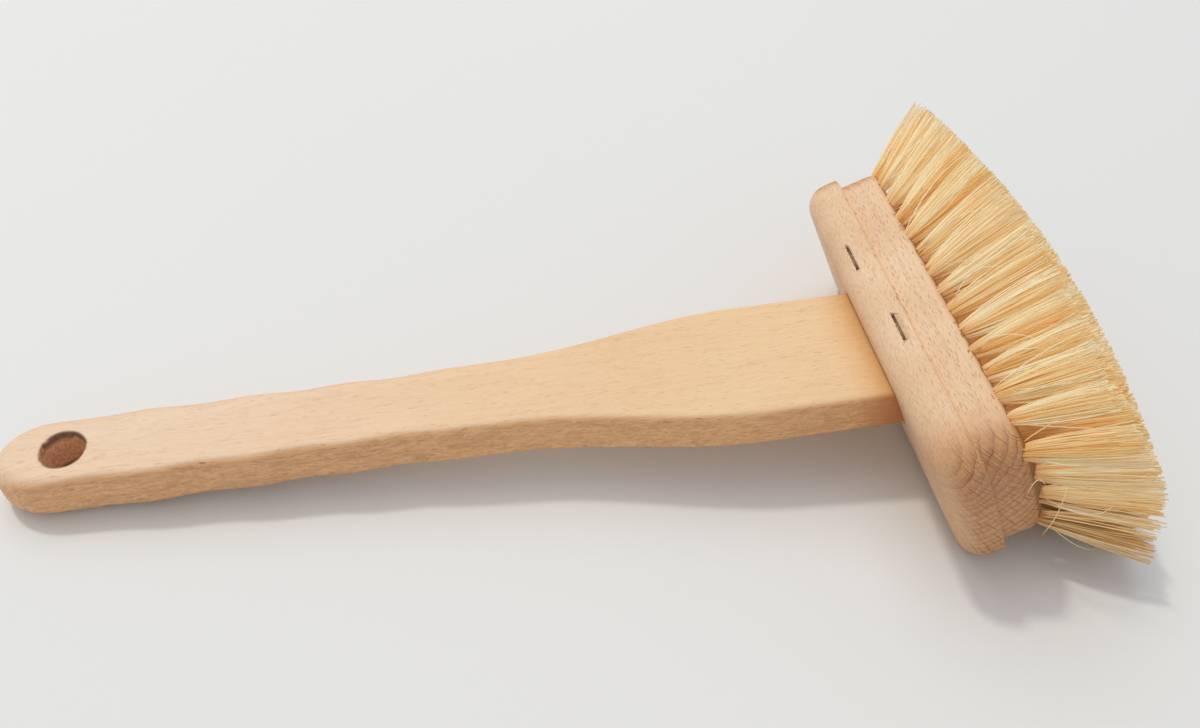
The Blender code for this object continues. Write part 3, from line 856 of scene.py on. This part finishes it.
def tip_cell(column):
    """The length and depth that the tips of one tuft share out."""
    depth = TIPS_DEPTH * (END_DEPTH_SHARE if is_end(column) else 1)
    return TIPS_LENGTH / COLUMN_COUNT, depth / rows_in(column)


def tuft_places():
    """(column, root, middle of the tips) of each tuft, in the head's frame."""
    found = []
    for column in range(COLUMN_COUNT):
        share = 2 * column / (COLUMN_COUNT - 1) - 1
        y = share * COLUMN_PITCH * (COLUMN_COUNT - 1) / 2
        pitch = END_ROW_PITCH if is_end(column) else ROW_PITCH
        cell_y, cell_z = tip_cell(column)
        for row in range(rows_in(column)):
            place = row - (rows_in(column) - 1) / 2
            z = pitch * place
            root = Vector((face_at(z) - end_fall(y), y, z))
            found.append((column, root, (share * (TIPS_LENGTH - cell_y) / 2, cell_z * place)))
    return found


def make_tuft_hole_cutter(sides=20):
    """All the tuft holes, each a little out of round."""
    points, faces = [], []
    for _, root, _ in tuft_places():
        rings = []
        for x in (root.x - TUFT_HOLE_DEPTH, root.x + TUFT_HOLE_DEPTH):
            ring = []
            for i in range(sides):
                angle = 2 * math.pi * i / sides
                reach = TUFT_HOLE_DIAMETER / 2 * rng.uniform(0.97, 1.04)
                ring.append((x, root.y + reach * math.cos(angle), root.z + reach * math.sin(angle)))
            rings.append(ring)
        ring_points, ring_faces = bridge_rings(rings)
        first = len(points)
        points += ring_points
        faces += [tuple(first + i for i in face) for face in ring_faces]
    return make_piece("tuft_hole_cutter", points, faces, HEAD, None)


def dome(y, z):
    """x of the trimmed tip surface; y and z are along and across, before the fan sags."""
    along = y / (TIPS_LENGTH / 2)
    across = z / (TIPS_DEPTH / 2)
    return face_at(0) + BRISTLE_LENGTH - TIPS_END_DROP * along**2 - TIPS_SIDE_DROP * across**2


def fibre_paths(starts, middles, ends):
    """Points along a curve through each fibre's start, middle and end: (fibre, step, 3)."""
    t = np.linspace(0, 1, FIBRE_STEPS + 1)[None, :, None]
    control = 2 * middles - (starts + ends) / 2
    return (1 - t) ** 2 * starts[:, None] + 2 * t * (1 - t) * control[:, None] + t**2 * ends[:, None]


def make_fibres(name, paths, widths, tones, material, sides=FIBRE_SIDES, lean=None):
    """One mesh of tapering fibres, with each one's tone and the way along it kept on its points. A lean
    turns the shading of each fibre, so that it takes the light as part of its tuft."""
    count, steps = paths.shape[:2]
    along = np.gradient(paths, axis=1)
    along /= np.linalg.norm(along, axis=2, keepdims=True)
    steep = np.abs(along[:, :1, 2:]) > 0.9
    lead = np.where(steep, np.array([0.0, 1.0, 0.0]), np.array([0.0, 0.0, 1.0]))
    aside = np.cross(along, lead)
    aside /= np.linalg.norm(aside, axis=2, keepdims=True)
    up = np.cross(aside, along)
    first = rng.uniform(0, math.pi, count)[:, None, None]
    turn = first + (2 * np.pi * np.arange(sides) / sides)[None, None, :]
    reach = (widths / 2)[:, :, None]
    ring = (paths[:, :, None] + (reach * np.cos(turn))[..., None] * aside[:, :, None]
            + (reach * np.sin(turn))[..., None] * up[:, :, None])
    points = ring.reshape(-1, 3)
    base = (np.arange(count) * steps * sides)[:, None, None]
    low = base + (np.arange(steps - 1) * sides)[None, :, None] + np.arange(sides)[None, None, :]
    following = (np.arange(sides) + 1) % sides
    low_next = base + (np.arange(steps - 1) * sides)[None, :, None] + following[None, None, :]
    quads = np.stack([low, low + sides, low_next + sides, low_next], axis=-1).reshape(-1, 4)
    caps = base[:, 0, :] + (steps - 1) * sides + np.arange(sides)[None, ::-1]
    feet = base[:, 0, :] + np.arange(sides)[None, :]
    mesh = bpy.data.meshes.new(name)
    mesh.from_pydata(points.tolist(), [], quads.tolist() + caps.tolist() + feet.tolist())
    mesh.shade_smooth()
    for key, values in (("tone", np.repeat(tones, steps * sides)),
                        ("along", np.tile(np.repeat(np.linspace(0, 1, steps), sides), count))):
        attribute = mesh.attributes.new(key, "FLOAT", "POINT")
        attribute.data.foreach_set("value", values.astype(np.float32))
    mesh.materials.append(material)
    if lean is not None:
        normals = np.cos(turn)[..., None] * aside[:, :, None] + np.sin(turn)[..., None] * up[:, :, None]
        normals = normals + lean[:, :, None]
        normals /= np.linalg.norm(normals, axis=3, keepdims=True)
        mesh.normals_split_custom_set_from_vertices(normals.reshape(-1, 3).tolist())
    obj = bpy.data.objects.new(name, mesh)
    bpy.context.scene.collection.objects.link(obj)
    obj.matrix_world = HEAD
    return obj


def keep_within_box(paths):
    """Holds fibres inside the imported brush's box, and so above the floor too."""
    turn = np.array(HEAD.to_3x3())
    place = np.array(HEAD.translation)
    low, high = (np.array(corner) for corner in cad_box)
    world = np.clip(paths @ turn.T + place, low + BOX_MARGIN, high - BOX_MARGIN)
    return (world - place) @ turn


def shading_lean(place, ends):
    """Which way each step of a fibre faces as part of its cone and of the whole brush."""
    t = np.linspace(0, 1, FIBRE_STEPS + 1)[None, :, None]
    cone = np.concatenate([np.zeros((len(place), 1)), place], axis=1)[:, None]
    brush = np.zeros((len(place), 1, 3))
    brush[:, 0, 1] = (ends[:, 1] / (TIPS_LENGTH / 2)) ** 3 * END_LEAN
    brush[:, 0, 2] = (ends[:, 2] + TIPS_LOWERED) / (TIPS_DEPTH / 2) * SIDE_LEAN + UP_LEAN
    tips = np.array([1.0, 0.0, 0.0])
    return cone * CONE_LEAN * (1 - t * CONE_LEAN_LOST) + brush * BRUSH_LEAN + tips * TIP_LEAN * t**3


def tuft_fibres(root, tip, cell, fill, clumps):
    """Fibres that leave one hole in loose clumps and fill one cell: starts, middles, ends, the lean of
    their shading and their tones."""
    count = FIBRES_PER_TUFT
    pick = rng.integers(0, len(clumps), count)
    place = clumps[pick] + rng.normal(0, CLUMP_SPREAD, (count, 2))
    place /= np.maximum(np.linalg.norm(place, axis=1, keepdims=True), 1)
    reach = np.linalg.norm(place, axis=1, keepdims=True)
    square = place * (reach / np.maximum(np.abs(place).max(axis=1, keepdims=True), 1e-6)) ** 0.8
    spread = np.where(rng.random((count, 1)) < WILD_SHARE, WILD_SPREAD, TAME_SPREAD)
    yz = np.array(tip) + square * fill * np.array(cell) / 2 + rng.normal(0, 1, (count, 2)) * spread
    limit = np.array([TIPS_LENGTH, TIPS_DEPTH]) / 2 - TIPS_MARGIN
    yz = np.clip(yz, -limit, limit)
    starts = np.empty((count, 3))
    starts[:, 0] = root.x - TUFT_HOLE_DEPTH * ROOT_DEPTH_SHARE
    starts[:, 1:] = np.array(root.yz) + place * TUFT_DIAMETER / 2
    ends = np.empty((count, 3))
    ends[:, 0] = [dome(y, z) for y, z in yz]
    ends[:, 1] = yz[:, 0]
    ends[:, 2] = yz[:, 1] - TIPS_LOWERED
    short = rng.gamma(1.3, UNEVEN_LENGTH / 4, count) / BRISTLE_LENGTH
    far = np.clip((yz[:, 0] - FAR_TRIM_START) / (TIPS_LENGTH / 2 - FAR_TRIM_START), 0, 1)
    short += far * rng.uniform(0.3, 1.0, count) * FAR_TRIM / BRISTLE_LENGTH
    ends += (starts - ends) * np.clip(short, 0, MOST_SHORTENED)[:, None]
    middles = (starts + ends) / 2
    middles[:, 1:] += place * BELLY + rng.normal(0, 1, (count, 2)) * spread * 0.5
    tone = OWN_TONE * rng.beta(2, 2.4, count) + CLUMP_TONE * rng.random(len(clumps))[pick]
    # Painted shade in each tuft's core
    tone += CORE_SHADE_TONE * (1 - reach[:, 0])
    return starts, middles, ends, shading_lean(place, ends), tone


def make_tuft_columns(material):
    """Light passes through the thin fibres, so only those of the lower rows cast shadows."""
    groups = {}
    for column, root, tip in tuft_places():
        low = root.z < -ROW_PITCH
        groups.setdefault((column, low), []).append((root, tip, not is_outer(column, root)))
    for (column, low), places in groups.items():
        parts = []
        for root, tip, inside in places:
            angle = rng.uniform(0, 2 * np.pi, CLUMPS)
            reach = np.sqrt(np.linspace(0.04, 1.0, CLUMPS))
            clumps = np.stack([reach * np.cos(angle), reach * np.sin(angle)], axis=1)
            fill = INNER_FILL_SHARE if inside else OUTER_FILL_SHARE
            *paths, lean, tone = tuft_fibres(root, tip, tip_cell(column), fill, clumps)
            tone += rng.uniform(-TUFT_TONE, TUFT_TONE)
            # Painted shade on the lower rows
            if low:
                tone = tone * LOW_TONE_SHARE + LOW_ROW_SHADE_TONE
            tone = np.clip(tone, 0, DEEPEST_TONE) * INNER_TONE + (INNER_TONE if inside else 0.0)
            parts.append((*paths, lean, tone))
        starts, middles, ends, lean, tones = (np.concatenate(part) for part in zip(*parts))
        taper = np.linspace(FIBRE_WIDTH, FIBRE_TIP_WIDTH, FIBRE_STEPS + 1)
        widths = taper[None] * rng.uniform(0.75, 1.25, len(starts))[:, None]
        widths *= np.where(tones >= INNER_TONE, INNER_WIDER, 1.0)[:, None]
        name = f"{'lower' if low else 'upper'}_bristles_{column + 1:02d}"
        paths = keep_within_box(fibre_paths(starts, middles, ends))
        piece = make_fibres(name, paths, widths, tones, material, lean=lean)
        piece.visible_shadow = low
        dress(piece, f"tuft_column_{column + 1:02d}")


def make_burrs(material):
    """Torn wood fibres that stand round the holes."""
    starts, middles, ends = [], [], []
    for _, root, _ in tuft_places():
        for _ in range(BURRS_PER_HOLE):
            angle = rng.uniform(0, 2 * math.pi)
            turn = Vector((0, math.cos(angle), math.sin(angle)))
            start = root + turn * TUFT_HOLE_DIAMETER / 2 * rng.uniform(0.98, 1.12)
            start.x = face_at(start.z) - end_fall(start.y) - 0.0003
            length = rng.uniform(*BURR_LENGTH)
            lean = turn * rng.uniform(-0.4, 1.4) + Vector((0, rng.normal(0, 0.5), rng.normal(0, 0.3)))
            end = start + (Vector((1, 0, 0)) + lean).normalized() * length
            bend = Vector((0, rng.normal(0, 0.15), rng.normal(0, 0.15))) * length
            starts.append(start)
            middles.append((start + end) / 2 + bend)
            ends.append(end)
    starts, middles, ends = (np.array(part) for part in (starts, middles, ends))
    taper = np.linspace(BURR_WIDTH, BURR_TIP_WIDTH, FIBRE_STEPS + 1)
    widths = taper[None] * rng.uniform(0.6, 1.3, len(starts))[:, None]
    tones = rng.uniform(0, 1, len(starts))
    return make_fibres("hole_burrs", fibre_paths(starts, middles, ends), widths, tones, material, 3)


def make_strays(material):
    """Loose pale fibres across most of the outer tufts, and the broken ones at the near end."""
    starts, middles, ends = [], [], []
    for column, root, tip in tuft_places():
        if not is_outer(column, root) or rng.random() > STRAY_SHARE:
            continue
        outward = Vector((0, math.copysign(1, tip[0]), 0) if is_end(column)
                         else (0, 0, math.copysign(1, tip[1])))
        y, z = (np.clip(middle + rng.normal(0, spread), -limit, limit)
                for middle, spread, limit in zip(tip, STRAY_SPREAD, STRAY_LIMIT))
        reach = rng.uniform(*STRAY_REACH)
        start = root + outward * TUFT_DIAMETER * 0.45
        end = start.lerp(Vector((dome(y, z), y, z - TIPS_LOWERED)), reach)
        bend = outward * rng.uniform(*STRAY_BOW)
        bend += Vector((0, rng.normal(0, 0.003), rng.normal(0, 0.002)))
        starts.append(start)
        middles.append((start + end) / 2 + bend)
        ends.append(end)
    for start, middle, end in BROKEN_FIBRES:
        starts.append(Vector(start))
        middles.append(Vector(middle))
        ends.append(Vector(end))
    starts, middles, ends = (np.array(part) for part in (starts, middles, ends))
    taper = np.linspace(FIBRE_WIDTH, FIBRE_TIP_WIDTH * 0.6, FIBRE_STEPS + 1)
    widths = np.repeat(taper[None], len(starts), axis=0)
    paths = keep_within_box(fibre_paths(starts, middles, ends))
    return make_fibres("stray_fibres", paths, widths, np.zeros(len(starts)), material)


# Staples


def make_staple(name, x, y, material, bend_steps=6, sides=12):
    """The crown of a staple with its shoulders bent down into the wood."""
    half = STAPLE_WIRE / 2
    crown = HEAD_DEPTH / 2 - STAPLE_SINK
    bend = STAPLE_WIRE
    path = [(-STAPLE_WIDTH / 2 + half, crown - STAPLE_DEPTH)]
    for side in (-1, 1):
        for i in range(bend_steps + 1):
            angle = math.pi / 2 * (i / bend_steps if side < 0 else 1 - i / bend_steps)
            path.append((side * (STAPLE_WIDTH / 2 - half - bend * (1 - math.cos(angle))),
                         crown - half - bend * (1 - math.sin(angle))))
    path.append((STAPLE_WIDTH / 2 - half, crown - STAPLE_DEPTH))
    rings = []
    for i, (py, pz) in enumerate(path):
        before, after = path[max(i - 1, 0)], path[min(i + 1, len(path) - 1)]
        along = Vector((0, after[0] - before[0], after[1] - before[1])).normalized()
        up = along.cross(Vector((1, 0, 0)))
        ring = []
        for k in range(sides):
            angle = 2 * math.pi * (k + 0.5) / sides
            across = math.copysign(abs(math.cos(angle)) ** 0.6, math.cos(angle)) * half
            thick = math.copysign(abs(math.sin(angle)) ** 0.6, math.sin(angle)) * half * 0.75
            ring.append(Vector((0, py, pz)) + Vector((across, 0, 0)) + up * thick)
        rings.append(ring)
    matrix = HEAD @ Matrix.Translation((x, y, 0))
    piece = make_piece("wire_" + name, *bridge_rings(rings), matrix, material)
    dress(piece, name)


# The surroundings


def make_floor():
    n = Nodes("pale_floor")
    place = n.add("ShaderNodeTexCoord").outputs["Object"]
    cloud = n.noise(place, scale=1.5, detail=1.0)
    colour = n.mix(cloud, srgb(232, 233, 236), srgb(238, 238, 238))
    n.shader.inputs["Specular IOR Level"].default_value = 0.2
    material = n.finish(colour, 0.85)
    levels = [FLOOR_HALF * (2 * i / FLOOR_STEPS - 1) for i in range(FLOOR_STEPS + 1)]
    points = [(x, y, 0.0) for x in levels for y in levels]
    faces = []
    for i in range(FLOOR_STEPS):
        for j in range(FLOOR_STEPS):
            k = i * (FLOOR_STEPS + 1) + j
            faces.append((k, k + FLOOR_STEPS + 1, k + FLOOR_STEPS + 2, k + 1))
    floor = make_piece("floor", points, faces, Matrix.Identity(4), material)


def add_lamp(name, direction, size, share, colour):
    """A round lamp far off. A share of 1 would show the floor in its own colour."""
    toward = Vector(direction).normalized()
    light = bpy.data.lights.new(name, "AREA")
    light.shape = "DISK"
    light.size = size
    light.energy = share * (math.pi * LAMP_DISTANCE) ** 2 / toward.z
    light.color = colour
    lamp = bpy.data.objects.new(name, light)
    bpy.context.scene.collection.objects.link(lamp)
    lamp.location = toward * LAMP_DISTANCE
    lamp.rotation_euler = (-toward).to_track_quat("-Z", "Y").to_euler()


def make_world():
    world = bpy.data.worlds.new("studio")
    bpy.context.scene.world = world
    world.use_nodes = True
    background = world.node_tree.nodes["Background"]
    background.inputs["Color"].default_value = (*SKY_COLOUR, 1.0)
    background.inputs["Strength"].default_value = SKY_STRENGTH


def make_camera():
    back = Vector((math.sin(CAMERA_AZIMUTH) * math.cos(CAMERA_HEIGHT),
                   -math.cos(CAMERA_AZIMUTH) * math.cos(CAMERA_HEIGHT), math.sin(CAMERA_HEIGHT)))
    right = (-back).cross(Vector((0, 0, 1))).normalized()
    up = right.cross(-back)
    right, up = (right * math.cos(CAMERA_ROLL) + up * math.sin(CAMERA_ROLL),
                 up * math.cos(CAMERA_ROLL) - right * math.sin(CAMERA_ROLL))
    matrix = Matrix((right, up, back)).transposed().to_4x4()
    start = Vector((HANDLE.translation.x, HANDLE.translation.y, 0))
    matrix.translation = start + CAMERA_TARGET + back * CAMERA_DISTANCE
    data = bpy.data.cameras.new("camera")
    data.lens = CAMERA_LENS_MM
    data.sensor_width = SENSOR_MM
    data.clip_start = NEAREST_SEEN
    camera = bpy.data.objects.new("camera", data)
    bpy.context.scene.collection.objects.link(camera)
    camera.matrix_world = matrix
    bpy.context.scene.camera = camera


def main():
    make_camera()
    dress(make_handle(make_handle_wood()), "handle")
    dress(make_head(make_head_wood()), "head_block")
    wire = make_staple_material()
    for name, (x, y) in STAPLE_PLACES.items():
        make_staple(name, x, y, wire)
    straw = make_fibre_material()
    make_tuft_columns(straw)
    dress(make_strays(straw), None)
    dress(make_burrs(make_splinter_material()), None)

    make_floor()
    make_world()
    for name, lamp in LAMPS.items():
        add_lamp(name, *lamp)
    bpy.context.scene.view_settings.view_transform = "Standard"


main()
bpy.context.view_layer.update()
